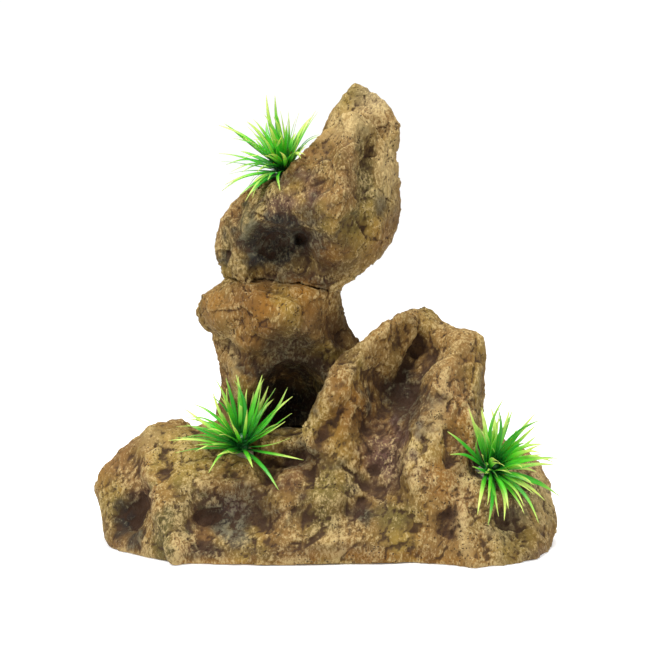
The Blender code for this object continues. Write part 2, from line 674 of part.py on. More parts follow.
def make_whorl(name, frame, height, paths, parts, cutters):
    """A bored hub with a blade extruded from every other side face, moulded in one piece."""
    middle = frame @ Vector((0, 0, height))
    up = (frame.to_3x3() @ Vector((0, 0, 1))).normalized()
    bm = bmesh.new()
    bmesh.ops.create_cone(
        bm, cap_ends=True, segments=2 * BLADES, radius1=HUB_RADIUS, radius2=HUB_RADIUS, depth=HUB_THICKNESS,
        matrix=frame @ Matrix.Translation((0, 0, height)),
    )
    whorl = object_from(bm, name, parts)
    reach = up * HUB_THICKNESS
    bore = cylinder(name + "_bore", STEM_RADIUS + HUB_GAP, middle - reach, middle + reach, cutters, sides=8)
    cut(whorl, helper(bore))
    bm = bmesh.new()
    bm.from_mesh(whorl.data)
    for face in list(bm.faces):
        root = face.calc_center_median()
        if abs(face.normal.dot(up)) > 0.5 or (root - middle).dot(face.normal) < 0:
            continue
        path = min(paths, key=lambda route: (route[0] - root).length)
        if len(path) == 1 or (path[0] - root).length > 0.3 * HUB_RADIUS * math.pi / BLADES:
            continue
        tip = face
        for index in range(KNOT_STEPS, len(path), KNOT_STEPS):
            share = index / (len(path) - 1)
            ahead = (path[index] - path[index - 1]).normalized()
            outward = path[index] - middle
            across = up.cross(outward - up * outward.dot(up)).normalized()
            lift = ahead.cross(across).normalized()
            tip = bmesh.ops.extrude_discrete_faces(bm, faces=[tip])["faces"][0]
            wide = width_along(share) if share < 1 else 0.15 * BLADE_WIDTH
            thick = BLADE_THICKNESS * (1 - 0.55 * share)
            for corner, vert in zip(corner_signs(tip, across, lift), tip.verts):
                vert.co = path[index] + across * corner[0] * wide / 2 + lift * corner[1] * thick / 2
    bm.to_mesh(whorl.data)
    bm.free()
    return whorl


def corner_signs(face, across, lift):
    """For each corner of a four-sided face, which side of its middle it is on, both ways."""
    middle = face.calc_center_median()
    signs = []
    for vert in face.verts:
        offset = vert.co - middle
        signs.append((math.copysign(1, offset.dot(across)), math.copysign(1, offset.dot(lift))))
    return signs


def make_stem(name, frame, stack, parts, cutters):
    """The peg in the rock, the post that the whorls are threaded on, and its head."""
    foot = frame @ Vector((0, 0, -POCKET_DEPTH - PEG_LENGTH))
    top = frame @ Vector((0, 0, stack))
    stem = cylinder(name, STEM_RADIUS, foot, top, parts, sides=10)
    under = frame @ Vector((0, 0, stack - 0.0001))
    over = frame @ Vector((0, 0, stack + STEM_HEAD_HEIGHT))
    top_radius = 0.6 * STEM_HEAD_RADIUS
    head = cylinder(name + "_head", STEM_HEAD_RADIUS, under, over, cutters, sides=10, end_radius=top_radius)
    return cut(stem, helper(head), "UNION")


def make_glue(name, frame, parts, cutters):
    """The bead of hot-melt glue that holds the stem in its pocket."""
    low = frame @ Vector((0, 0, -POCKET_DEPTH + BOND_GAP))
    high = frame @ Vector((0, 0, -POCKET_DEPTH + BOND_GAP + GLUE_HEIGHT))
    glue = cylinder(name, GLUE_RADIUS, low, high, parts, sides=20, end_radius=0.72 * GLUE_RADIUS)
    reach = (frame.to_3x3() @ Vector((0, 0, 1))) * 0.002
    bore = cylinder(name + "_bore", STEM_RADIUS + HUB_GAP, low - reach, high + reach, cutters, sides=10)
    return cut(glue, helper(bore))


def make_plant(name, frame, seed, thicket, parts, cutters):
    chance = random.Random(seed)
    first = -POCKET_DEPTH + BOND_GAP + GLUE_HEIGHT + HUB_GAP + HUB_THICKNESS / 2
    pitch = HUB_THICKNESS + HUB_GAP
    rises = [math.radians(12), math.radians(30), math.radians(50), math.radians(70)]
    made = []
    for level in range(WHORLS):
        height = first + level * pitch
        turned = frame @ Matrix.Rotation((level % 2) * math.pi / BLADES, 4, "Z")
        paths = []
        for index in range(BLADES):
            azimuth = (index + 0.25) * 2 * math.pi / BLADES
            path = grow_blade(turned, height, azimuth, rises[level], chance, thicket)
            thicket.add(path)
            paths.append(path)
        made.append(make_whorl(f"{name}_plant_whorl_{level + 1}", turned, height, paths, parts, cutters))
    stack = first + (WHORLS - 1) * pitch + HUB_THICKNESS / 2 + HUB_GAP
    stem = make_stem(f"{name}_plant_stem", frame, stack, parts, cutters)
    glue = make_glue(f"{name}_plant_glue", frame, parts, cutters)
    return made, stem, glue


def main():
    clear_scene()
    parts = new_collection("resin_cave_ornament")
    cutters = new_collection("cutters")
    resin = finish("painted_resin", (0.42, 0.28, 0.14), 0.75)
    leaf = finish("leaf_plastic", (0.08, 0.42, 0.06), 0.4)
    stem_plastic = finish("stem_plastic", (0.05, 0.20, 0.05), 0.5)
    glue_clear = finish("hot_melt_glue", (0.72, 0.70, 0.62), 0.35)

    pillar = make_pillar(parts, cutters)
    crown = make_crown(parts, cutters, pillar)
    base = make_base(parts, cutters, pillar)
    castings = [base, pillar, crown]
    for casting in castings:
        casting.data.materials.append(resin)
    homes = {"top": crown, "left": base, "right": base}
    frames = {}
    for name, plant in PLANTS.items():
        frames[name] = plant_frame(plant, homes[name])
        drill(homes[name], frames[name], name, cutters)
    for casting in castings:
        without_chips(casting)
    thicket = Thicket([tree_of(casting) for casting in castings])
    for name, plant in PLANTS.items():
        whorls, stem, glue = make_plant(name, frames[name], plant["seed"], thicket, parts, cutters)
        for whorl in whorls:
            whorl.data.materials.append(leaf)
        stem.data.materials.append(stem_plastic)
        glue.data.materials.append(glue_clear)


main()
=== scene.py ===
# Looks of the resin cave ornament: three painted castings and three plastic grass plants, around their packed
# frame. Metres, +Z up, front towards -Y.
import math
import random

import bmesh
import bpy
import numpy as np
from mathutils import Matrix, Vector, noise
from mathutils.bvhtree import BVHTree


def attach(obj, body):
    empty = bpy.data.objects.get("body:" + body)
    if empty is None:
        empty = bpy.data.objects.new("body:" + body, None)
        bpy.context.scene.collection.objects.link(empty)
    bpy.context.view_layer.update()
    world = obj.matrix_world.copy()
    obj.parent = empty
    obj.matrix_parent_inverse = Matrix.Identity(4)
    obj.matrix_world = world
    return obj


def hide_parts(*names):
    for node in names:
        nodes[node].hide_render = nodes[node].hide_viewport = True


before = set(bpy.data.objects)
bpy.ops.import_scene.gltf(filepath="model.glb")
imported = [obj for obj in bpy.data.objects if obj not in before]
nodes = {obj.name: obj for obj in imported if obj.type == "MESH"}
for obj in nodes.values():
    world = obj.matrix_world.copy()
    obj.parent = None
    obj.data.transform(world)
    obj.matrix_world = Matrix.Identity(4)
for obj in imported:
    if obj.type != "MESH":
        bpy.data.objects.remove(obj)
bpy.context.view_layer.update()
print("frame loaded:", len(nodes), "nodes")


weldReach = 0.000002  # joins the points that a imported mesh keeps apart


def linear(red, green, blue):
    # a paint chip's 0-255 values, as the linear colour that shaders take
    out = []
    for part in (red, green, blue):
        part = part / 255
        out.append(part / 12.92 if part <= 0.04045 else ((part + 0.055) / 1.055) ** 2.4)
    return (*out, 1.0)


paints = {
    "tan": linear(146, 110, 54),
    "cream": linear(226, 199, 138),
    "ochre": linear(160, 108, 26),
    "yellow": linear(168, 142, 58),
    "umber": linear(66, 42, 22),
    "rust": linear(132, 80, 48),
    "olive": linear(98, 92, 40),
    "moss": linear(58, 62, 24),
    "grey": linear(134, 130, 104),
    "mauve": linear(104, 72, 70),
    "charcoal": linear(33, 30, 28),
    # this black darkens the cave and the deepest hollows: painted shade, with some dark paint in the hollows
    "blackAndShade": linear(10, 8, 8),
}


# Helpers for meshes


def place(obj, replaced=()):
    bpy.context.scene.collection.objects.link(obj)
    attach(obj, "root")
    if replaced:
        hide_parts(*replaced)
    return obj


def applyModifiers(obj):
    graph = bpy.context.evaluated_depsgraph_get()
    old = obj.data
    obj.data = bpy.data.meshes.new_from_object(obj.evaluated_get(graph))
    obj.modifiers.clear()
    bpy.data.meshes.remove(old)
    return obj


def pointsOf(mesh):
    flat = np.empty(len(mesh.vertices) * 3)
    mesh.vertices.foreach_get("co", flat)
    return flat.reshape(-1, 3)


def normalsOf(mesh):
    flat = np.empty(len(mesh.vertices) * 3)
    mesh.vertices.foreach_get("normal", flat)
    return flat.reshape(-1, 3)


def setPoints(mesh, points):
    mesh.vertices.foreach_set("co", points.ravel())
    mesh.update()


def storeValue(mesh, name, values):
    attribute = mesh.attributes.new(name, "FLOAT", "POINT")
    attribute.data.foreach_set("value", values.astype(np.float32))


def storeColour(mesh, name, colours):
    attribute = mesh.attributes.new(name, "FLOAT_COLOR", "POINT")
    rgba = np.ones((len(colours), 4), np.float32)
    rgba[:, :3] = colours
    attribute.data.foreach_set("color", rgba.ravel())


def shadeSmooth(mesh):
    mesh.polygons.foreach_set("use_smooth", [True] * len(mesh.polygons))


class Neighbours:
    # averages over each vertex's neighbours, for finding hollows
    def __init__(self, mesh):
        self.count = len(mesh.vertices)
        ends = np.empty(len(mesh.edges) * 2, np.int64)
        mesh.edges.foreach_get("vertices", ends)
        self.start, self.end = ends.reshape(-1, 2).T
        self.degree = np.bincount(ends, minlength=self.count).clip(1)

    def mean(self, values):
        out = np.empty_like(values)
        for axis in range(values.shape[1]):
            column = values[:, axis]
            total = np.bincount(self.start, column[self.end], self.count)
            total += np.bincount(self.end, column[self.start], self.count)
            out[:, axis] = total / self.degree
        return out

    def blurred(self, values, rounds):
        for _ in range(rounds):
            values = 0.5 * values + 0.5 * self.mean(values)
        return values


def fall(share):
    # 1 in the middle, down to 0 at share 1
    return np.clip(1 - share**2, 0, 1) ** 2


def pathDistance(points, path):
    route = [np.array(point, float) for point in path]
    if len(route) == 1:
        return np.linalg.norm(points - route[0], axis=1)
    nearest = np.full(len(points), np.inf)
    for start, end in zip(route, route[1:]):
        along = end - start
        share = np.clip((points - start) @ along / (along @ along), 0, 1)
        nearest = np.minimum(nearest, np.linalg.norm(points - start - share[:, None] * along, axis=1))
    return nearest


# Helpers for node materials. A value given to one of them may be a number or a socket.


def addNode(tree, kind, inputs=None, **settings):
    made = tree.nodes.new(kind)
    for key, value in settings.items():
        setattr(made, key, value)
    for key, value in (inputs or {}).items():
        socket = made.inputs[key]
        if isinstance(value, bpy.types.NodeSocket):
            tree.links.new(value, socket)
        else:
            socket.default_value = value
    return made


def maths(tree, operation, first, second):
    return addNode(tree, "ShaderNodeMath", {0: first, 1: second}, operation=operation).outputs[0]


def remap(tree, value, low, high, toLow=0.0, toHigh=1.0):
    return addNode(
        tree,
        "ShaderNodeMapRange",
        {"Value": value, "From Min": low, "From Max": high, "To Min": toLow, "To Max": toHigh},
        interpolation_type="SMOOTHSTEP",
    ).outputs[0]


def mixColour(tree, amount, under, over, mode="MIX"):
    inputs = {0: amount, 6: under, 7: over}
    return addNode(tree, "ShaderNodeMix", inputs, data_type="RGBA", blend_type=mode).outputs[2]


def times(tree, first, second):
    return maths(tree, "MULTIPLY", first, second)


def noiseOf(tree, position, scale, detail=3.0, roughness=0.55, distortion=0.0):
    inputs = {"Vector": position, "Scale": scale, "Detail": detail}
    inputs.update({"Roughness": roughness, "Distortion": distortion})
    return addNode(tree, "ShaderNodeTexNoise", inputs).outputs[0]


def newGroup(name, inputs, outputs):
    group = bpy.data.node_groups.new(name, "ShaderNodeTree")
    for label, kind, value in inputs:
        socket = group.interface.new_socket(label, in_out="INPUT", socket_type=kind)
        if value is not None:
            socket.default_value = value
    for label, kind in outputs:
        group.interface.new_socket(label, in_out="OUTPUT", socket_type=kind)
    source = group.nodes.new("NodeGroupInput")
    sink = group.nodes.new("NodeGroupOutput")
    return group, source.outputs, sink


def useGroup(tree, group, inputs):
    return addNode(tree, "ShaderNodeGroup", inputs, node_tree=group).outputs


def newMaterial(name):
    material = bpy.data.materials.new(name)
    material.use_nodes = True
    tree = material.node_tree
    return material, tree, tree.nodes["Principled BSDF"]


def attributeOf(tree, name, colour=False):
    made = addNode(tree, "ShaderNodeAttribute", attribute_name=name)
    return made.outputs["Color" if colour else "Fac"]


def objectPosition(tree):
    return addNode(tree, "ShaderNodeTexCoord").outputs["Object"]


def linkBump(tree, shader, height, distance):
    bump = addNode(tree, "ShaderNodeBump", {"Height": height, "Distance": distance, "Strength": 1.0})
    tree.links.new(bump.outputs[0], shader.inputs["Normal"])


# Effects that the three castings share


def makeStoneGrain():
    # the cast surface: granular skin, flecks and small pits in clusters
    group, given, sink = newGroup(
        "stoneGrain",
        [
            ("Position", "NodeSocketVector", None),
            ("Grain Scale", "NodeSocketFloat", 520.0),
            ("Pit Scale", "NodeSocketFloat", 780.0),
            ("Pit Share", "NodeSocketFloat", 0.5),
        ],
        [("Grain", "NodeSocketFloat"), ("Pits", "NodeSocketFloat"), ("Height", "NodeSocketFloat")],
    )
    position = given["Position"]
    grain = noiseOf(group, position, given["Grain Scale"], 5.0, 0.62)
    lumps = noiseOf(group, position, times(group, given["Grain Scale"], 0.32), 4.0, 0.6)
    # the lumps push the pits about by up to 4 mm, so that they don't sit in rows
    shift = addNode(group, "ShaderNodeVectorMath", {0: position, 1: lumps}, operation="ADD").outputs[0]
    shifted = addNode(group, "ShaderNodeMix", {0: 0.004, 4: position, 5: shift}, data_type="VECTOR").outputs[1]
    cells = addNode(group, "ShaderNodeTexVoronoi", {"Vector": shifted, "Scale": given["Pit Scale"]})
    clusters = remap(group, noiseOf(group, position, times(group, given["Pit Scale"], 0.14), 2.0), 0.42, 0.62)
    rare = addNode(group, "ShaderNodeSeparateColor", {0: cells.outputs["Color"]}).outputs[0]
    chosen = maths(group, "GREATER_THAN", times(group, clusters, given["Pit Share"]), rare)
    pits = times(group, remap(group, cells.outputs["Distance"], 0.16, 0.34, 1.0, 0.0), chosen)
    height = maths(group, "ADD", times(group, grain, 0.45), times(group, lumps, 0.8))
    height = maths(group, "SUBTRACT", height, times(group, pits, 0.9))
    group.links.new(grain, sink.inputs["Grain"])
    group.links.new(pits, sink.inputs["Pits"])
    group.links.new(height, sink.inputs["Height"])
    return group


def makeDryBrush():
    # pale paint that only catches the high places, broken up along the stone's grain
    group, given, sink = newGroup(
        "dryBrush",
        [
            ("Position", "NodeSocketVector", None),
            ("Ridges", "NodeSocketFloat", 0.5),
            ("Scale", "NodeSocketFloat", 1050.0),
            ("Cover", "NodeSocketFloat", 0.5),
        ],
        [("Mask", "NodeSocketFloat"), ("Streaks", "NodeSocketFloat")],
    )
    position = given["Position"]
    streaks = noiseOf(group, position, given["Scale"], 6.0, 0.72, 0.3)
    wide = noiseOf(group, position, times(group, given["Scale"], 0.07), 3.0, 0.55)
    caught = maths(group, "ADD", times(group, given["Ridges"], 0.55), times(group, streaks, 2.6))
    caught = maths(group, "ADD", caught, times(group, wide, 1.1))
    start = maths(group, "SUBTRACT", 2.28, times(group, given["Cover"], 0.4))
    mask = remap(group, caught, start, maths(group, "ADD", start, 0.55))
    group.links.new(mask, sink.inputs["Mask"])
    group.links.new(streaks, sink.inputs["Streaks"])
    return group


stoneGrain = makeStoneGrain()
dryBrush = makeDryBrush()
print("shader groups built")


# Castings: a fine skin over each solid, carved, and then painted


def skinOf(name, look):
    # a fine skin over the casting's solid
    obj = bpy.data.objects.new(name, nodes[look["node"]].data.copy())
    obj.data.materials.clear()
    place(obj, [look["node"]])
    weld = obj.modifiers.new("weld", "WELD")
    weld.merge_threshold = weldReach
    remesh = obj.modifiers.new("skin", "REMESH")
    remesh.mode = "VOXEL"
    remesh.voxel_size = look["voxel"]
    smooth = obj.modifiers.new("wear", "SMOOTH")
    smooth.factor = 0.5
    smooth.iterations = look["wear"]
    return applyModifiers(obj)


def sculpt(mesh, look):
    points = pointsOf(mesh)
    for _name, path, reach, push in look["strokes"]:
        share = pathDistance(points, path) / reach
        points += fall(share)[:, None] * np.array(push)
    setPoints(mesh, points)
    normals = normalsOf(mesh)
    along = Vector(look["grainAlong"]).normalized()
    squeeze = 1 - 1 / look["grainStretch"]
    lift = np.empty(len(points))
    for index, spot in enumerate(points):
        spot = Vector(spot)
        drawn = spot - along * (spot.dot(along) * squeeze)
        value = 0.0
        for size, depth, kind in look["relief"]:
            if kind == "ridges":
                value += depth * (noise.ridged_multi_fractal(drawn / size, 0.9, 2.1, 4, 1.0, 2.0) - 1.1)
            elif kind == "facets":
                middle = noise.voronoi(spot / size)[1][0]
                tilt = noise.cell_vector(middle * 3.7) - Vector((0.5, 0.5, 0.5))
                value += depth * 2 * tilt.dot(spot / size - middle)
            elif kind == "cracks":
                first, second = noise.voronoi(drawn / size)[0][:2]
                value -= depth * max(0.0, 1 - (second - first) / 0.22) ** 2
            else:
                value += depth * noise.fractal(spot / size, 0.8, 2.0, 4)
        lift[index] = value
    underside = np.clip(points[:, 2] / 0.004, 0, 1)
    points += normals * ((lift + look["swell"]) * underside)[:, None]
    points[:, 2] = np.maximum(points[:, 2], 0)
    setPoints(mesh, points)
    return points


def findHollows(mesh, points):
    near = Neighbours(mesh)
    normals = normalsOf(mesh)
    fine = near.blurred(points, 5)
    wide = near.blurred(fine, 60)
    fineStep = ((points - fine) * normals).sum(1)
    wideStep = ((points - wide) * normals).sum(1)
    storeValue(mesh, "fineRelief", np.clip(0.5 + fineStep / 0.0006, 0, 1))
    storeValue(mesh, "wideRelief", np.clip(0.5 + wideStep / 0.0036, 0, 1))


def airbrushAndShade(mesh, points, look):
    # soft coats of paint: the ground colour, drifts of other tones, and the patches sprayed by hand; the dark
    # patches in the cave, the scoop, the holes and the hollows are painted shade as well as dark paint
    warp = np.empty(len(points))
    drift = np.empty((len(points), 3))
    for index, spot in enumerate(points):
        spot = Vector(spot)
        warp[index] = noise.fractal(spot / 0.007, 0.8, 2.0, 3)
        drift[index] = (
            noise.noise(spot / 0.021 + Vector((3, 7, 1))),
            noise.noise(spot / 0.026 + Vector((9, 2, 5))),
            noise.noise(spot / 0.017 + Vector((4, 4, 8))),
        )
    colour = np.tile(np.array(paints["tan"][:3]), (len(points), 1))
    for column, name, amount in look["drifts"]:
        share = np.clip(drift[:, column] * 2.2 + 0.15 * warp, 0, 1) * amount
        colour += share[:, None] * (np.array(paints[name][:3]) - colour)
    darkCoatsAndShade = np.zeros(len(points))
    for name, middle, radii, tilt, strength in rockCoatsAndShade:
        offset = points - np.array(middle)
        turn = math.radians(tilt)
        across = offset[:, 0] * math.cos(turn) + offset[:, 2] * math.sin(turn)
        upward = offset[:, 2] * math.cos(turn) - offset[:, 0] * math.sin(turn)
        share = np.sqrt((across / radii[0]) ** 2 + (upward / radii[1]) ** 2 + (offset[:, 1] / coatDepth) ** 2)
        share = share * (1 + 0.6 * warp)
        cover = np.clip(1.25 - share, 0, 1)
        cover = cover * cover * (3 - 2 * cover) * strength
        colour += cover[:, None] * (np.array(paints[name][:3]) - colour)
        # the charcoal, black and umber patches, dark paint and painted shade together, also go into a mask
        # that keeps the cream off them
        if name in ("charcoal", "blackAndShade", "umber"):
            darkCoatsAndShade = np.maximum(darkCoatsAndShade, cover)
    storeColour(mesh, "airbrushAndShade", colour)
    storeValue(mesh, "darkCoatsAndShade", darkCoatsAndShade)


def resinFinish(name, look):
    material, tree, shader = newMaterial(name)
    position = objectPosition(tree)
    grainTurn = Vector(look["grainAlong"]).rotation_difference(Vector((0, 0, 1))).to_euler()
    stretch = (1, 1, 1 / look["grainStretch"])
    drawn = addNode(
        tree, "ShaderNodeMapping", {"Vector": position, "Rotation": grainTurn, "Scale": stretch}
    ).outputs[0]
    fine = attributeOf(tree, "fineRelief")
    wide = attributeOf(tree, "wideRelief")
    skin = useGroup(tree, stoneGrain, {"Position": position, "Pit Share": look["pitShare"]})
    brush = useGroup(tree, dryBrush, {"Position": drawn, "Ridges": fine, "Cover": look["cream"]})
    colour = attributeOf(tree, "airbrushAndShade", colour=True)
    # umber mixed in: darker in the wide hollows and in the fine creases, and in flecks along the grain
    for value, low, high, amount in (
        (wide, 0.56, 0.10, "hollowDarkening"),
        (fine, 0.46, 0.12, "creaseDarkening"),
        (skin["Grain"], 0.56, 0.70, "flecks"),
    ):
        colour = mixColour(tree, remap(tree, value, low, high, 0.0, look[amount]), colour, paints["umber"])
    # cream on the high places, and little of it on the dark patches
    # where the dark patches lie, dark paint and painted shade alike
    darkCoatsAndShade = attributeOf(tree, "darkCoatsAndShade")
    bare = remap(tree, darkCoatsAndShade, 0.0, 0.9, 1.0, 0.2)
    blush = remap(tree, noiseOf(tree, drawn, 120.0, 4.0, 0.6), 0.50, 0.70, 0.0, 0.30)
    colour = mixColour(tree, times(tree, blush, bare), colour, paints["cream"], "SOFT_LIGHT")
    brushing = times(tree, brush["Mask"], look["creamStrength"])
    brushing = times(tree, brushing, remap(tree, wide, 0.15, 0.50, 0.12, 1.0))
    colour = mixColour(tree, times(tree, brushing, bare), colour, paints["cream"])
    # ash grey on the dark patches' own ridges
    ash = times(tree, brush["Mask"], remap(tree, darkCoatsAndShade, 0.3, 0.9, 0.0, 0.5))
    colour = mixColour(tree, times(tree, ash, remap(tree, wide, 0.1, 0.4)), colour, paints["grey"])
    colour = mixColour(tree, times(tree, skin["Pits"], 0.9), colour, paints["umber"])
    tree.links.new(colour, shader.inputs["Base Color"])
    tree.links.new(remap(tree, skin["Grain"], 0.3, 0.7, 0.52, 0.80), shader.inputs["Roughness"])
    shader.inputs["Specular IOR Level"].default_value = 0.35
    height = maths(tree, "ADD", skin["Height"], times(tree, brush["Streaks"], 0.9))
    linkBump(tree, shader, height, look["bump"])
    return material


def makeCasting(name, look):
    obj = skinOf(name, look)
    mesh = obj.data
    points = sculpt(mesh, look)
    findHollows(mesh, points)
    airbrushAndShade(mesh, points, look)
    shadeSmooth(mesh)
    mesh.materials.clear()
    mesh.materials.append(resinFinish(name + "Paint", look))
    print(name, "skinned and painted:", len(mesh.polygons), "faces")
    return obj


# size of the feature, its depth and its kind
stoneRelief = [
    (0.0150, 0.0008, "lumps"),
    (0.0130, 0.0011, "facets"),
    (0.0060, 0.0006, "facets"),
    (0.0080, 0.0003, "ridges"),
    (0.0036, 0.00022, "ridges"),
    (0.0018, 0.00016, "lumps"),
    (0.0170, 0.0005, "cracks"),
]
# which drift, its paint and how much of it
stoneDrifts = [(0, "yellow", 0.60), (1, "rust", 0.25), (2, "olive", 0.35)]
coatDepth = 0.036  # how deep into the rock a sprayed patch reaches
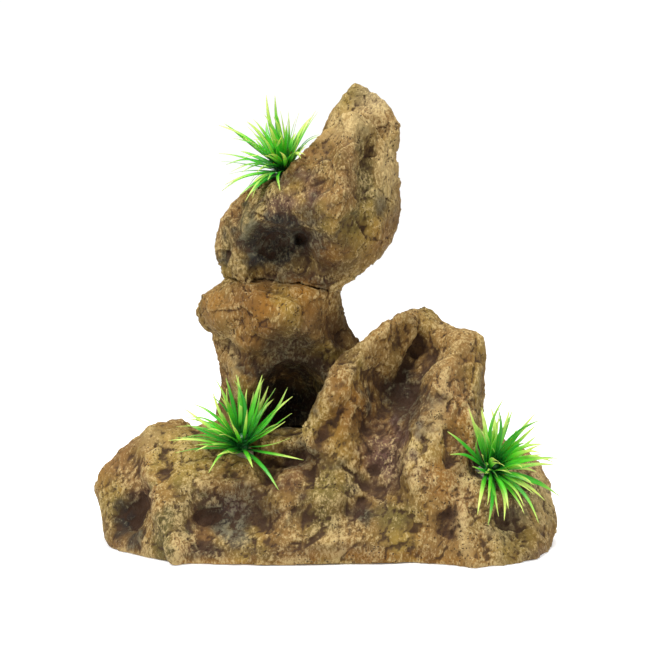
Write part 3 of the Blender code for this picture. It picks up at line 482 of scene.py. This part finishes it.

# paint, middle, radii across and up, tilt in degrees, strength; the front's first, then the back's. Where the
# black, charcoal and umber patches sit in the cave, the left scoop, the holes and the hollows, they are dark
# paint and painted shade together
rockCoatsAndShade = [
    ("yellow", (-0.054, -0.016, 0.042), (0.021, 0.009), -8, 0.5),
    ("mauve", (-0.077, -0.018, 0.023), (0.009, 0.007), 30, 0.5),
    ("charcoal", (-0.084, -0.018, 0.013), (0.009, 0.012), 10, 1.0),
    ("olive", (-0.068, -0.042, 0.007), (0.006, 0.016), 4, 0.7),
    # umber and charcoal in the left scoop: dark paint and painted shade
    ("umber", (-0.034, -0.038, 0.024), (0.022, 0.012), -10, 0.75),
    ("charcoal", (-0.042, -0.038, 0.018), (0.017, 0.010), 0, 0.95),
    ("mauve", (-0.038, -0.035, 0.022), (0.007, 0.004), 0, 0.5),
    ("charcoal", (-0.048, -0.043, 0.006), (0.010, 0.004), 0, 0.7),
    ("grey", (-0.039, -0.042, 0.010), (0.011, 0.003), -14, 0.6),
    ("olive", (-0.058, -0.037, 0.022), (0.006, 0.013), 0, 0.4),
    ("umber", (-0.009, -0.019, 0.041), (0.017, 0.007), 30, 0.8),
    ("olive", (-0.001, -0.036, 0.030), (0.011, 0.013), 25, 0.6),
    ("olive", (-0.003, -0.040, 0.017), (0.013, 0.008), 0, 0.5),
    ("umber", (0.010, -0.034, 0.023), (0.024, 0.013), 0, 0.3),
    ("charcoal", (0.016, -0.035, 0.019), (0.005, 0.004), 0, 0.9),
    ("umber", (0.002, -0.045, 0.006), (0.034, 0.005), 0, 0.5),
    ("ochre", (0.012, -0.025, 0.063), (0.013, 0.018), 20, 0.4),
    ("yellow", (0.009, -0.029, 0.047), (0.010, 0.011), 0, 0.4),
    # umber and black in the slab's hollow: dark paint and painted shade
    ("umber", (0.034, -0.012, 0.062), (0.013, 0.016), 10, 0.85),
    ("blackAndShade", (0.034, -0.008, 0.066), (0.009, 0.012), 10, 0.9),
    ("mauve", (0.025, -0.025, 0.040), (0.012, 0.016), -12, 0.8),
    ("umber", (0.031, -0.035, 0.031), (0.006, 0.011), -10, 0.4),
    ("ochre", (0.057, -0.028, 0.049), (0.008, 0.016), -8, 0.6),
    ("cream", (0.048, -0.025, 0.064), (0.004, 0.019), -12, 0.3),
    ("charcoal", (0.067, -0.011, 0.034), (0.009, 0.009), 0, 0.95),
    ("moss", (0.084, -0.020, 0.026), (0.016, 0.009), 15, 0.7),
    ("moss", (0.095, -0.009, 0.017), (0.006, 0.008), 0, 0.5),
    ("rust", (0.056, -0.042, 0.023), (0.009, 0.011), 0, 0.4),
    ("cream", (0.056, -0.046, 0.014), (0.003, 0.016), 12, 0.4),
    ("grey", (0.075, -0.034, 0.013), (0.009, 0.008), 0, 0.5),
    ("ochre", (-0.032, -0.048, -0.000), (0.034, 0.003), 0, 0.6),
    ("ochre", (0.032, -0.045, 0.002), (0.030, 0.004), 0, 0.55),
    ("umber", (-0.058, -0.045, -0.003), (0.013, 0.003), 0, 0.5),
    ("umber", (0.084, -0.042, 0.002), (0.017, 0.004), 0, 0.4),
    ("ochre", (-0.025, -0.015, 0.106), (0.022, 0.009), 0, 0.6),
    ("umber", (-0.008, -0.015, 0.098), (0.015, 0.012), 0, 0.5),
    ("charcoal", (-0.014, -0.004, 0.114), (0.021, 0.003), 0, 0.8),
    ("ochre", (-0.011, -0.007, 0.111), (0.008, 0.004), 0, 0.9),
    ("charcoal", (-0.001, -0.007, 0.112), (0.003, 0.004), 0, 0.8),
    # umber over the cave's mouth: dark paint and painted shade
    ("umber", (-0.018, -0.007, 0.086), (0.022, 0.009), 0, 0.7),
    ("ochre", (-0.034, -0.011, 0.093), (0.009, 0.011), 10, 0.4),
    # umber and black in the cave's mouth and on its back wall: painted shade
    ("umber", (-0.015, -0.010, 0.076), (0.024, 0.011), 0, 0.9),
    ("blackAndShade", (-0.013, -0.010, 0.066), (0.022, 0.011), 0, 0.9),
    ("blackAndShade", (-0.016, 0.010, 0.055), (0.024, 0.018), 0, 1.0),
    ("umber", (0.006, 0.003, 0.089), (0.007, 0.017), 0, 0.6),
    ("grey", (0.019, 0.015, 0.191), (0.014, 0.008), 0, 0.4),
    ("umber", (-0.019, -0.011, 0.158), (0.016, 0.004), 0, 0.7),
    ("mauve", (-0.018, -0.018, 0.148), (0.012, 0.007), 15, 0.7),
    ("umber", (-0.007, -0.019, 0.144), (0.007, 0.010), -10, 0.75),
    ("charcoal", (0.023, -0.011, 0.146), (0.005, 0.006), 0, 0.75),
    ("olive", (0.016, -0.011, 0.157), (0.005, 0.016), 0, 0.75),
    ("olive", (0.010, -0.019, 0.139), (0.007, 0.008), 0, 0.5),
    ("olive", (-0.042, 0.001, 0.130), (0.004, 0.012), 0, 0.6),
    # umber, charcoal and black in the crown's hollow under its brow: dark paint and painted shade
    ("umber", (-0.021, -0.010, 0.135), (0.026, 0.011), 8, 0.6),
    ("charcoal", (-0.021, -0.010, 0.130), (0.027, 0.015), 6, 1.0),
    ("blackAndShade", (-0.021, -0.004, 0.123), (0.009, 0.006), 0, 0.95),
    ("grey", (-0.027, -0.005, 0.128), (0.007, 0.0018), 28, 0.7),
    ("grey", (-0.016, -0.005, 0.131), (0.005, 0.0018), 40, 0.7),
    ("grey", (-0.034, -0.006, 0.134), (0.006, 0.0018), 60, 0.6),
    ("ochre", (0.002, -0.019, 0.126), (0.008, 0.005), 0, 0.6),
    ("umber", (0.004, -0.013, 0.119), (0.016, 0.006), 0, 0.55),
    ("rust", (-0.011, -0.009, 0.166), (0.011, 0.005), 25, 0.4),
    ("cream", (0.009, -0.007, 0.181), (0.019, 0.009), 20, 0.35),
    ("cream", (0.027, -0.002, 0.161), (0.006, 0.022), 0, 0.35),
    ("cream", (0.092, -0.013, 0.019), (0.008, 0.011), 0, 0.35),
    ("cream", (-0.071, -0.009, 0.045), (0.019, 0.006), -20, 0.2),
    ("umber", (-0.058, -0.037, 0.020), (0.010, 0.011), 0, 0.35),
    ("umber", (-0.040, -0.045, 0.005), (0.026, 0.004), 0, 0.45),
    ("umber", (0.006, -0.045, 0.004), (0.039, 0.005), 0, 0.45),
    ("ochre", (0.009, -0.045, 0.004), (0.026, 0.003), 0, 0.35),
    ("umber", (0.002, -0.021, 0.129), (0.013, 0.009), 20, 0.4),
    ("ochre", (-0.011, -0.013, 0.106), (0.022, 0.010), 0, 0.35),
    ("umber", (0.015, -0.019, 0.050), (0.009, 0.017), 25, 0.35),
    ("ochre", (0.050, -0.037, 0.035), (0.007, 0.013), 0, 0.4),
    ("umber", (0.055, -0.032, 0.042), (0.006, 0.013), 0, 0.45),
    ("umber", (0.038, -0.007, 0.064), (0.008, 0.012), 10, 0.5),
    ("ochre", (0.002, -0.028, 0.056), (0.008, 0.017), 25, 0.3),
    ("yellow", (-0.063, -0.019, 0.039), (0.016, 0.009), 0, 0.4),
    ("cream", (-0.040, -0.002, 0.083), (0.003, 0.015), 10, 0.3),
    ("umber", (-0.020, -0.018, 0.093), (0.017, 0.005), -10, 0.45),
    ("yellow", (-0.017, -0.021, 0.105), (0.005, 0.011), 30, 0.5),
    ("umber", (-0.034, -0.013, 0.106), (0.007, 0.009), 20, 0.35),
    ("umber", (0.009, -0.021, 0.164), (0.006, 0.017), 15, 0.3),
    ("mauve", (-0.006, -0.015, 0.154), (0.006, 0.011), 20, 0.4),
    ("olive", (-0.034, -0.013, 0.139), (0.004, 0.009), 0, 0.5),
    ("umber", (0.030, 0.003, 0.141), (0.005, 0.013), 0, 0.35),
    ("olive", (0.030, -0.042, 0.019), (0.013, 0.006), 0, 0.5),
    ("umber", (0.050, -0.042, 0.014), (0.009, 0.010), 0, 0.35),
    ("moss", (0.012, -0.029, 0.031), (0.009, 0.005), 20, 0.45),
    ("olive", (-0.063, -0.042, 0.019), (0.007, 0.010), 0, 0.45),
    ("rust", (-0.011, -0.029, 0.034), (0.010, 0.006), 20, 0.35),
    ("charcoal", (0.006, -0.029, 0.039), (0.005, 0.003), 35, 0.6),
    ("umber", (0.075, -0.034, 0.022), (0.010, 0.006), 0, 0.4),
    ("charcoal", (-0.020, 0.024, 0.132), (0.018, 0.010), 10, 0.9),
    ("umber", (-0.010, 0.024, 0.112), (0.026, 0.007), 0, 0.7),
    ("olive", (0.004, 0.014, 0.158), (0.010, 0.016), 20, 0.6),
    ("umber", (-0.020, 0.022, 0.080), (0.024, 0.014), 0, 0.7),
    ("ochre", (-0.026, 0.020, 0.098), (0.018, 0.008), 0, 0.5),
    ("umber", (0.040, 0.038, 0.060), (0.014, 0.018), 0, 0.6),
    ("mauve", (0.056, 0.042, 0.040), (0.014, 0.012), 0, 0.6),
    ("charcoal", (-0.008, 0.048, 0.020), (0.026, 0.012), 0, 0.8),
    ("olive", (-0.060, 0.042, 0.024), (0.014, 0.012), 0, 0.6),
    ("charcoal", (-0.084, 0.028, 0.014), (0.010, 0.010), 0, 0.8),
    ("grey", (-0.040, 0.048, 0.016), (0.014, 0.008), 0, 0.5),
    ("charcoal", (0.060, 0.042, 0.012), (0.012, 0.010), 0, 0.8),
    ("moss", (0.084, 0.034, 0.016), (0.012, 0.012), 0, 0.6),
    ("ochre", (0.024, 0.044, 0.012), (0.014, 0.008), 0, 0.5),
    ("ochre", (-0.066, 0.042, 0.005), (0.026, 0.004), 0, 0.5),
]

slabRidge = [(0.046, 0.007, 0.090), (0.050, -0.024, 0.064), (0.045, -0.040, 0.036)]
leftRidge = [(-0.076, -0.003, 0.048), (-0.071, -0.030, 0.030), (-0.062, -0.048, 0.002)]
rightRidge = [(0.054, -0.038, 0.031), (0.057, -0.046, 0.015), (0.062, -0.052, 0.0)]
baseLook = {
    "node": "base_casting",
    "voxel": 0.00115,
    "wear": 5,
    "swell": 0.0003,
    "grainAlong": (0.35, 0.0, 0.94),
    "grainStretch": 1.8,
    "relief": stoneRelief,
    "strokes": [
        ("left scoop", [(-0.051, -0.045, 0.025), (-0.030, -0.042, 0.027)], 0.011, (0, 0.0050, 0)),
        ("slab ridge", slabRidge, 0.007, (0, -0.0020, 0)),
        ("left ridge", leftRidge, 0.006, (-0.001, -0.0022, 0)),
        ("right ridge", rightRidge, 0.006, (0, -0.0022, 0)),
    ],
    "drifts": stoneDrifts,
    "pitShare": 0.75,
    "cream": 0.5,
    "creamStrength": 0.7,
    "hollowDarkening": 0.85,
    "creaseDarkening": 0.75,
    "flecks": 0.45,
    "bump": 0.0011,
}
# the lump that covers the joint between pillar and crown belongs to both
jointLump = ("lump at the joint", [(-0.014, -0.009, 0.111), (-0.007, -0.009, 0.114)], 0.010, (0, -0.0035, 0))
pillarLook = {
    "node": "pillar_casting",
    "voxel": 0.0007,
    "wear": 8,
    "swell": 0.0003,
    "grainAlong": (0.12, 0.0, 0.99),
    "grainStretch": 2.2,
    "relief": stoneRelief,
    "strokes": [
        ("beak ridge", [(-0.047, -0.004, 0.105), (-0.030, -0.012, 0.086)], 0.007, (0, -0.0024, 0)),
        ("groove under the brow", [(-0.038, -0.010, 0.094), (-0.012, -0.014, 0.089)], 0.008, (0, 0.0030, 0)),
        jointLump,
    ],
    "drifts": stoneDrifts,
    "pitShare": 0.65,
    "cream": 0.45,
    "creamStrength": 0.65,
    "hollowDarkening": 0.85,
    "creaseDarkening": 0.75,
    "flecks": 0.45,
    "bump": 0.0011,
}
frontRidge = [(0.009, -0.004, 0.184), (0.003, -0.026, 0.153), (-0.003, -0.010, 0.125)]
crownLook = {
    "node": "crown_casting",
    "voxel": 0.0007,
    "wear": 8,
    "swell": 0.0003,
    "grainAlong": (0.5, 0.0, 0.86),
    "grainStretch": 2.0,
    "relief": stoneRelief,
    "strokes": [
        ("front ridge", frontRidge, 0.008, (0, -0.0036, 0)),
        ("valley", [(0.017, -0.010, 0.171), (0.012, -0.018, 0.139)], 0.010, (0, 0.0036, 0)),
        jointLump,
        ("flute", [(-0.038, -0.002, 0.142), (-0.039, -0.002, 0.124)], 0.005, (0.001, 0.0022, 0)),
        ("dark hollow", [(-0.032, -0.008, 0.129), (-0.009, -0.004, 0.131)], 0.013, (0, 0.0040, 0)),
    ],
    "drifts": stoneDrifts,
    "pitShare": 0.65,
    "cream": 0.5,
    "creamStrength": 0.7,
    "hollowDarkening": 0.85,
    "creaseDarkening": 0.75,
    "flecks": 0.4,
    "bump": 0.0011,
}

castings = [
    makeCasting("baseSkin", baseLook),
    makeCasting("pillarSkin", pillarLook),
    makeCasting("crownSkin", crownLook),
]


# Grass: blades swept along the lines of the CAD blades


grassLook = {
    "steps": 14,  # along each blade
    "width": 0.0020,
    "thickness": 0.0005,
    # a blade's cross-section, as shares of half its width and of its thickness
    "section": [
        (-1, 0.35),
        (-0.55, -0.5),
        (0, -0.75),
        (0.55, -0.5),
        (1, 0.35),
        (0.55, 0.5),
        (0, 0.3),
        (-0.55, 0.5),
    ],
    "hubRadius": 0.0027,
    "hubBore": 0.0016,
    "hubReach": 0.0029,  # what is nearer to the stem's axis than this is hub
    "levels": 4,
    "fillTurn": (0.24, 0.38),  # of the blade that fills a gap, in radians from its neighbour
    "fillLength": (0.72, 0.95),
    "curl": 0.16,  # how far a blade's edges turn up, as a share of its width
    "bend": 0.0065,  # how far its tip leans to one side
    "droop": 0.0030,
    "wave": 0.0016,  # how far a blade sways off its line
    "root": linear(8, 98, 28),
    "middle": linear(78, 200, 36),
    "tip": linear(216, 236, 116),
    "deep": linear(20, 142, 38),
    "roughness": 0.38,
}


def stemLine(node):
    # foot, top and direction of a plant's stem
    points = pointsOf(node.data)
    middle = points.mean(0)
    spread = np.linalg.svd(points - middle, full_matrices=False)[2][0]
    along = (points - middle) @ spread
    direction = Vector(spread)
    if direction.z < 0:
        direction = -direction
        along = -along
    return Vector(middle) + direction * along.min(), Vector(middle) + direction * along.max(), direction


def outFrom(point, foot, direction):
    # from the stem's axis straight out to the point
    offset = point - foot
    return offset - direction * offset.dot(direction)


def bladeLines(node, foot, direction, hubReach):
    # the middles of each blade's knots, from root to tip
    bm = bmesh.new()
    bm.from_mesh(node.data)
    bmesh.ops.remove_doubles(bm, verts=bm.verts, dist=weldReach)
    hub = {vert for vert in bm.verts if outFrom(vert.co, foot, direction).length < hubReach}
    blades = []
    unseen = set(bm.verts) - hub
    rooted = [v for v in unseen if any(e.other_vert(v) in hub for e in v.link_edges)]
    rooted.sort(key=lambda v: v.index)
    for first in rooted:
        if first not in unseen:
            continue
        ring = [first]
        unseen.discard(first)
        for vert in ring:
            for edge in vert.link_edges:
                other = edge.other_vert(vert)
                if other in unseen and other in rooted and (other.co - first.co).length < 0.003:
                    ring.append(other)
                    unseen.discard(other)
        inner = {e.other_vert(v) for v in ring for e in v.link_edges if e.other_vert(v) in hub}
        rings = [list(inner), ring]
        while True:
            ahead = {e.other_vert(v) for v in rings[-1] for e in v.link_edges} & unseen
            if not ahead:
                break
            unseen -= ahead
            rings.append(list(ahead))
        blades.append([sum((v.co for v in knot), Vector()) / len(knot) for knot in rings])
    bm.free()
    return blades


def smoothLine(knots, steps):
    # a curve through the knots
    padded = [2 * knots[0] - knots[1], *knots, 2 * knots[-1] - knots[-2]]
    line = []
    for step in range(steps + 1):
        reached = step / steps * (len(knots) - 1)
        index = min(int(reached), len(knots) - 2)
        t = reached - index
        a, b, c, d = padded[index : index + 4]
        line.append(
            0.5 * (2 * b + (c - a) * t + (2 * a - 5 * b + 4 * c - d) * t * t + (3 * b - a - 3 * c + d) * t**3)
        )
    return line


def frameAt(line, step, direction, foot):
    # the blade's way ahead and the way across it, at one step of its line
    ahead = (line[min(step + 1, len(line) - 1)] - line[max(step - 1, 0)]).normalized()
    return ahead, direction.cross(outFrom(line[step], foot, direction)).normalized()


def bentLine(line, direction, foot, chance):
    # the line leaning and drooping a little, or as it was where that would enter the rock
    sway = chance.uniform(-1, 1) * grassLook["wave"]
    bend = chance.uniform(-1, 1) * grassLook["bend"]
    bent = []
    for step, point in enumerate(line):
        share = step / (len(line) - 1)
        across = frameAt(line, step, direction, foot)[1]
        point = point + across * (sway * math.sin(4.2 * share) * share + bend * share * share)
        point.z -= grassLook["droop"] * share**3
        bent.append(point)
    return bent if inTheOpen(bent[4:]) else line


def bladeShape(share):
    # a blade's width along its length, widest at a third of the way
    widest = 0.34
    if share < widest:
        return 0.62 + 1.1 * share
    return 1 - 0.92 * ((share - widest) / (1 - widest)) ** 1.8


def addBlade(bm, layers, line, direction, foot, chance):
    look = grassLook
    along, tint = layers
    width = look["width"] * chance.uniform(0.85, 1.1)
    shade = chance.random()
    twist = chance.uniform(-0.5, 0.5)
    rings = []
    for step, point in enumerate(line):
        share = step / (len(line) - 1)
        ahead, across = frameAt(line, step, direction, foot)
        across = Matrix.Rotation(twist * share, 3, ahead) @ across
        lift = ahead.cross(across).normalized()
        wide = 0.5 * width * bladeShape(share)
        thick = look["thickness"] * (1 - 0.6 * share)
        ring = []
        for side, high in look["section"]:
            curled = look["curl"] * 2 * wide * side * side
            vert = bm.verts.new(point + across * side * wide - lift * (high * thick / 2) + lift * curled * 0.5)
            vert[along] = share
            vert[tint] = shade
            ring.append(vert)
        rings.append(ring)
    for near, far in zip(rings, rings[1:]):
        for index in range(len(near)):
            other = (index + 1) % len(near)
            bm.faces.new((near[index], near[other], far[other], far[index]))
    bm.faces.new(rings[0][::-1])
    bm.faces.new(rings[-1])


def addHub(bm, layers, middle, direction, radius, bore, thickness):
    # the whorl's ring, with rounded edges
    along, tint = layers
    sides = 32
    lip = radius - 0.0003
    profile = [(bore, -0.5), (lip, -0.5), (radius, -0.22), (radius, 0.22), (lip, 0.5), (bore, 0.5)]
    side = direction.orthogonal().normalized()
    other = direction.cross(side)
    rings = []
    for index in range(sides):
        turn = 2 * math.pi * index / sides
        reach = side * math.cos(turn) + other * math.sin(turn)
        ring = []
        for out, high in profile:
            vert = bm.verts.new(middle + reach * out + direction * high * thickness)
            vert[along] = 0.0
            vert[tint] = 0.5
            ring.append(vert)
        rings.append(ring)
    for index in range(sides):
        near, far = rings[index], rings[(index + 1) % sides]
        for row in range(len(profile)):
            bm.faces.new((near[row], far[row], far[(row + 1) % len(profile)], near[(row + 1) % len(profile)]))


def grassFinish(name):
    look = grassLook
    material, tree, shader = newMaterial(name)
    along = attributeOf(tree, "along")
    tint = attributeOf(tree, "tint")
    position = objectPosition(tree)
    mottle = noiseOf(tree, position, 420.0, 3.0)
    body = mixColour(tree, remap(tree, tint, 0.55, 1.0, 0.0, 0.75), look["middle"], look["deep"])
    colour = mixColour(tree, remap(tree, along, 0.02, 0.42), look["root"], body)
    # the pale tip starts nearer to the root on some blades
    reach = maths(tree, "ADD", along, times(tree, maths(tree, "SUBTRACT", 0.5, tint), 0.5))
    colour = mixColour(tree, remap(tree, reach, 0.45, 1.0), colour, look["tip"])
    colour = mixColour(tree, remap(tree, mottle, 0.45, 0.75, 0.0, 0.22), colour, look["deep"])
    tree.links.new(colour, shader.inputs["Base Color"])
    gloss = remap(tree, mottle, 0.3, 0.7, look["roughness"] - 0.06, look["roughness"] + 0.08)
    tree.links.new(gloss, shader.inputs["Roughness"])
    shader.inputs["Subsurface Weight"].default_value = 0.12
    shader.inputs["Subsurface Scale"].default_value = 0.002
    linkBump(tree, shader, mottle, 0.00012)
    return material


def treeOf(mesh):
    return BVHTree.FromPolygons([v.co for v in mesh.vertices], [p.vertices for p in mesh.polygons])


stone = [treeOf(casting.data) for casting in castings]


def inTheOpen(line):
    # whether a blade's line stays out of the rock
    for tree in stone:
        for point in line:
            spot, normal, _, distance = tree.find_nearest(point)
            if distance < 0.0008 or (point - spot).dot(normal) < 0:
                return False
    return True


def makeGrass(plant, chance):
    look = grassLook
    foot, _top, direction = stemLine(nodes[plant + "_plant_stem"])
    finish = grassFinish(plant + "Grass")
    for level in range(1, look["levels"] + 1):
        node = nodes[f"{plant}_plant_whorl_{level}"]
        bm = bmesh.new()
        layers = (bm.verts.layers.float.new("along"), bm.verts.layers.float.new("tint"))
        heights = [
            (vert.co - foot).dot(direction)
            for vert in node.data.vertices
            if outFrom(vert.co, foot, direction).length < look["hubReach"]
        ]
        middle = foot + direction * (min(heights) + max(heights)) / 2
        thickness = max(heights) - min(heights)
        addHub(bm, layers, middle, direction, look["hubRadius"], look["hubBore"], thickness)
        for knots in bladeLines(node, foot, direction, look["hubReach"]):
            if len(knots) < 3:
                continue
            start = knots[0] + (middle - knots[0]).normalized() * 0.0004
            line = smoothLine([start, *knots[1:]], look["steps"])
            addBlade(bm, layers, bentLine(line, direction, foot, chance), direction, foot, chance)
            # a second, shorter blade fills the gap beside each one
            turn = Matrix.Rotation(chance.uniform(*look["fillTurn"]), 3, direction)
            shorter = chance.uniform(*look["fillLength"])
            extra = [middle + turn @ (point - middle) for point in line[:3]]
            extra += [middle + turn @ (point - middle) * shorter for point in line[3:]]
            if inTheOpen(extra[4:]):
                addBlade(bm, layers, bentLine(extra, direction, foot, chance), direction, foot, chance)
        bmesh.ops.recalc_face_normals(bm, faces=bm.faces)
        mesh = bpy.data.meshes.new(f"{plant}Whorl{level}")
        bm.to_mesh(mesh)
        bm.free()
        shadeSmooth(mesh)
        mesh.materials.append(finish)
        place(bpy.data.objects.new(mesh.name, mesh), [node.name])
    print(plant, "grass grown")


chance = random.Random(12)
for plant in ("top", "left", "right"):
    makeGrass(plant, chance)


# Stems and glue


stemLook = {
    "colour": linear(30, 104, 40),
    "rib": linear(12, 60, 26),
    "radius": 0.0013,
    "head": 0.0022,
    "pegLength": 0.0064,
    "gripRings": 9,
}
glueLook = {
    "colour": linear(214, 206, 178),
    "stain": linear(150, 120, 78),
    "voxel": 0.00035,
    "runs": 0.0007,  # depth of the bead's runs and dents
}


def stemFinish():
    material, tree, shader = newMaterial("stemPlastic")
    position = objectPosition(tree)
    mottle = noiseOf(tree, position, 600.0, 4.0)
    colour = mixColour(tree, remap(tree, mottle, 0.35, 0.7), stemLook["colour"], stemLook["rib"])
    tree.links.new(colour, shader.inputs["Base Color"])
    tree.links.new(remap(tree, mottle, 0.3, 0.7, 0.34, 0.5), shader.inputs["Roughness"])
    linkBump(tree, shader, mottle, 0.0001)
    return material


def glueFinish():
    material, tree, shader = newMaterial("hotGlue")
    position = objectPosition(tree)
    cloud = noiseOf(tree, position, 260.0, 4.0)
    colour = mixColour(tree, remap(tree, cloud, 0.4, 0.75, 0.0, 0.6), glueLook["colour"], glueLook["stain"])
    tree.links.new(colour, shader.inputs["Base Color"])
    tree.links.new(remap(tree, cloud, 0.3, 0.7, 0.16, 0.32), shader.inputs["Roughness"])
    shader.inputs["Subsurface Weight"].default_value = 0.3
    shader.inputs["Subsurface Scale"].default_value = 0.003
    linkBump(tree, shader, cloud, 0.0004)
    return material


def lathe(name, foot, direction, profile, sides=28):
    # turns (radius, height) points round the stem's line
    bm = bmesh.new()
    side = direction.orthogonal().normalized()
    line = [bm.verts.new(foot + side * radius + direction * height) for radius, height in profile]
    edges = [bm.edges.new(pair) for pair in zip(line, line[1:])]
    bmesh.ops.spin(
        bm, geom=line + edges, cent=foot, axis=direction, steps=sides, angle=2 * math.pi, use_merge=True
    )
    bmesh.ops.remove_doubles(bm, verts=bm.verts, dist=0.00001)
    bmesh.ops.holes_fill(bm, edges=bm.edges, sides=sides + 2)
    bmesh.ops.recalc_face_normals(bm, faces=bm.faces)
    mesh = bpy.data.meshes.new(name)
    bm.to_mesh(mesh)
    bm.free()
    shadeSmooth(mesh)
    return bpy.data.objects.new(name, mesh)


def makeStem(plant, finish):
    foot, top, direction = stemLine(nodes[plant + "_plant_stem"])
    length = (top - foot).length
    radius, head = stemLook["radius"], stemLook["head"]
    profile = [(0.0002, 0), (radius * 0.8, 0), (radius, 0.0004)]
    for ring in range(stemLook["gripRings"]):
        base = 0.0006 + stemLook["pegLength"] * ring / stemLook["gripRings"]
        profile += [(radius, base), (radius * 0.86, base + 0.0003), (radius, base + 0.0006)]
    neck = length - 0.0013
    profile += [(radius, neck), (head - 0.0001, neck + 0.0001), (head, neck + 0.0004)]
    profile += [(head - 0.0004, neck + 0.0009)]
    profile += [(0.0011, length - 0.0001), (0.0002, length)]
    obj = lathe(plant + "Stem", foot, direction, profile)
    obj.data.materials.append(finish)
    return place(obj, [plant + "_plant_stem"])


def makeGlue(plant, finish):
    node = nodes[plant + "_plant_glue"]
    obj = bpy.data.objects.new(plant + "Glue", node.data.copy())
    obj.data.materials.clear()
    obj.data.materials.append(finish)
    place(obj, [node.name])
    weld = obj.modifiers.new("weld", "WELD")
    weld.merge_threshold = weldReach
    remesh = obj.modifiers.new("skin", "REMESH")
    remesh.mode = "VOXEL"
    remesh.voxel_size = glueLook["voxel"]
    smooth = obj.modifiers.new("melt", "SMOOTH")
    smooth.iterations = 12
    applyModifiers(obj)
    mesh = obj.data
    points, normals = pointsOf(mesh), normalsOf(mesh)
    for index, spot in enumerate(points):
        points[index] += normals[index] * glueLook["runs"] * noise.fractal(Vector(spot) / 0.004, 0.8, 2.0, 3)
    setPoints(mesh, points)
    shadeSmooth(mesh)
    return obj


stemPlastic = stemFinish()
hotGlue = glueFinish()
for plant in ("top", "left", "right"):
    makeStem(plant, stemPlastic)
    makeGlue(plant, hotGlue)
print("stems and glue made")


# Floor, light and camera


stageLook = {
    "elevation": 8.0,
    "distance": 1.0,
    "aim": (-0.0005, 0.0038, 0.0931),
    "lens": 128.4,
    "floor": (0.90, 0.90, 0.90, 1.0),
    "floorReach": 0.8,
    # the floor glows less just round the rock's foot: a painted contact shadow
    "paintedShadowReach": (0.098, 0.054),  # the floor doesn't glow under the rock
    "paintedShadowFade": (0.8, 1.08),  # the glow starts and is full at these shares of that reach
    "floorGlow": 0.55,  # as the camera sees it, and a tenth of that as the rock does
    "worldGlow": (0.24, 1.05),  # for the rock, and as the camera sees it
    # name, place, size and power
    "lights": [
        ("keyLight", (-0.50, -0.60, 0.95), 0.40, 9.5),
        ("fillLight", (0.80, -0.60, 0.50), 0.70, 2.5),
        ("topLight", (0.05, -0.05, 1.20), 0.60, 11.0),
    ],
}


def makeFloor():
    bm = bmesh.new()
    bmesh.ops.create_grid(bm, x_segments=1, y_segments=1, size=stageLook["floorReach"])
    mesh = bpy.data.meshes.new("studioFloor")
    bm.to_mesh(mesh)
    bm.free()
    floor = bpy.data.objects.new("studioFloor", mesh)
    bpy.context.scene.collection.objects.link(floor)
    material, tree, shader = newMaterial("paleFloor")
    shader.inputs["Base Color"].default_value = stageLook["floor"]
    shader.inputs["Emission Color"].default_value = (1, 1, 1, 1)
    path = addNode(tree, "ShaderNodeLightPath")
    glow = stageLook["floorGlow"]
    seen = remap(tree, path.outputs["Is Camera Ray"], 0.0, 1.0, 0.1 * glow, glow)
    # no glow under the rock and less just round it, so the floor is darker at its foot: a painted contact
    # shadow
    reach = stageLook["paintedShadowReach"]
    spot = addNode(
        tree, "ShaderNodeMapping", {"Vector": objectPosition(tree), "Scale": (1 / reach[0], 1 / reach[1], 1)}
    ).outputs[0]
    outward = addNode(tree, "ShaderNodeVectorMath", {0: spot}, operation="LENGTH").outputs["Value"]
    clear = remap(tree, outward, *stageLook["paintedShadowFade"])
    tree.links.new(times(tree, seen, clear), shader.inputs["Emission Strength"])
    shader.inputs["Roughness"].default_value = 0.7
    mesh.materials.append(material)
    floor.location.z = -0.0002


def makeLights():
    aim = Vector(stageLook["aim"])
    for name, spot, size, power in stageLook["lights"]:
        lamp = bpy.data.lights.new(name, "AREA")
        lamp.size = size
        lamp.energy = power
        obj = bpy.data.objects.new(name, lamp)
        obj.location = spot
        obj.rotation_euler = (aim - Vector(spot)).to_track_quat("-Z", "Y").to_euler()
        bpy.context.scene.collection.objects.link(obj)
    world = bpy.data.worlds.new("paleStudio")
    bpy.context.scene.world = world
    world.use_nodes = True
    background = world.node_tree.nodes["Background"]
    background.inputs["Color"].default_value = (1, 1, 1, 1)
    path = addNode(world.node_tree, "ShaderNodeLightPath")
    seen = remap(world.node_tree, path.outputs["Is Camera Ray"], 0.0, 1.0, *stageLook["worldGlow"])
    world.node_tree.links.new(seen, background.inputs["Strength"])


def makeCamera():
    camera = bpy.data.cameras.new("camera")
    camera.sensor_width = 36
    camera.lens = stageLook["lens"]
    obj = bpy.data.objects.new("camera", camera)
    tilt = math.radians(stageLook["elevation"])
    back = Vector((0, -math.cos(tilt), math.sin(tilt)))
    obj.location = Vector(stageLook["aim"]) + back * stageLook["distance"]
    obj.rotation_euler = (-back).to_track_quat("-Z", "Y").to_euler()
    bpy.context.scene.collection.objects.link(obj)
    bpy.context.scene.camera = obj


makeFloor()
makeLights()
makeCamera()
bpy.context.scene.view_settings.view_transform = "Standard"
print("stage set")
